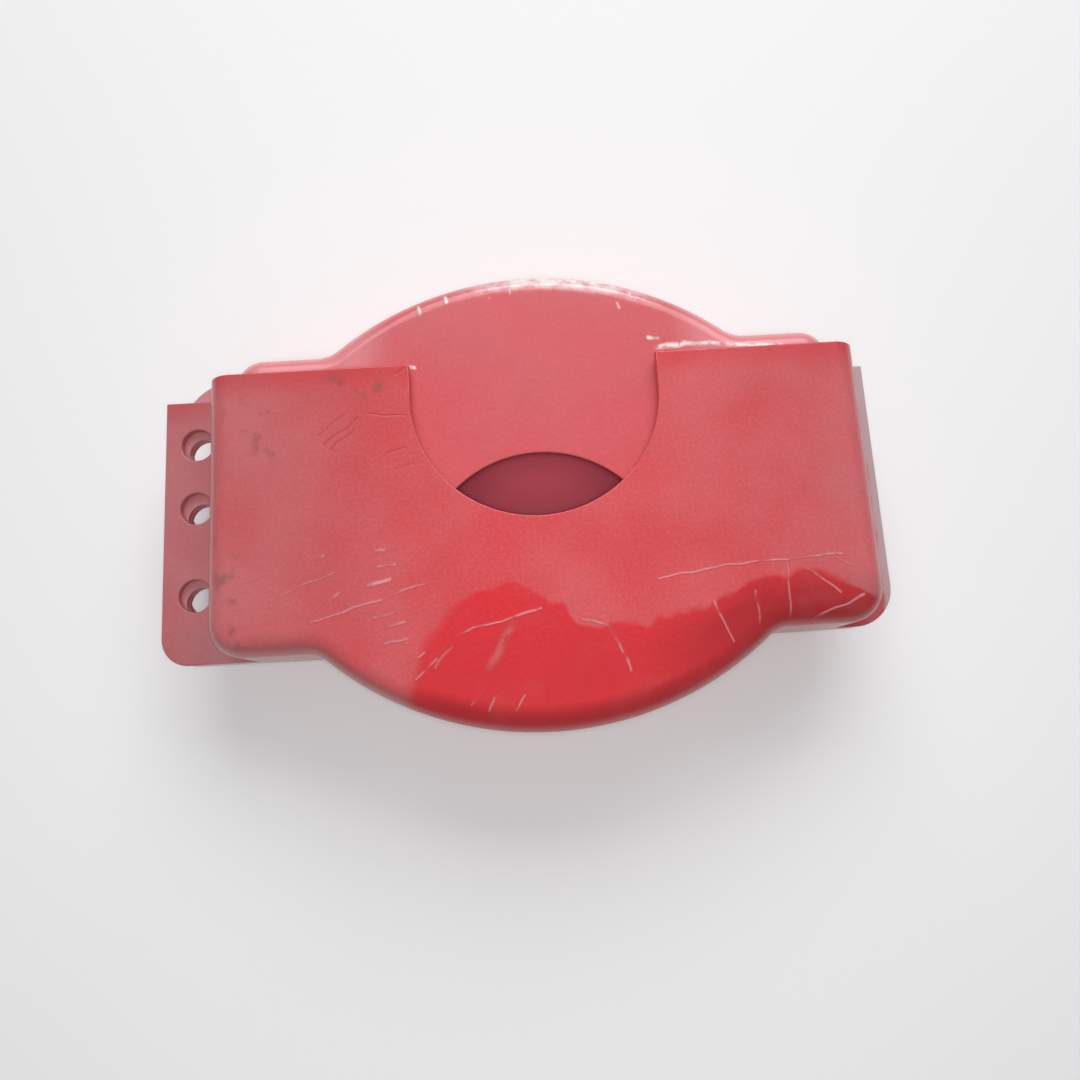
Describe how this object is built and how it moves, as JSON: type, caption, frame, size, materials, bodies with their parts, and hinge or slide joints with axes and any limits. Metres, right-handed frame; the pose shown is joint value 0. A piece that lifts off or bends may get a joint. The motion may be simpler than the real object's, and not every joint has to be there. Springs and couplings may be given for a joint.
{
  "type": "adjustable gate valve lockout",
  "caption": "Two telescoping red plastic pocket halves that close over a valve handwheel, with stem notches and padlock holes in a side flange.",
  "frame": {"origin": "under the middle of the closed lockout, on the surface that its closed back rests on", "axes": "+X across the lockout away from the padlock flange; +Y along the slide, from the outer half to the inner half; +Z out of the notched front"},
  "size_m": [0.2116, 0.1318, 0.0492],
  "materials": {
    "outer_red": "satin moulded polypropylene, safety red",
    "inner_red": "satin moulded polypropylene, safety red"
  },
  "bodies": {
    "outer_half": {"outer_front_shell": "outer_red", "outer_back_shell": "outer_red"},
    "inner_half": {"inner_front_shell": "inner_red", "inner_back_shell": "inner_red"}
  },
  "joints": [
    {"name": "inner_half_slide", "type": "slide", "parent": "outer_half", "child": "inner_half", "axis": [0, 1, 0], "range_m": [-0.0035, 0.08]}
  ]
}
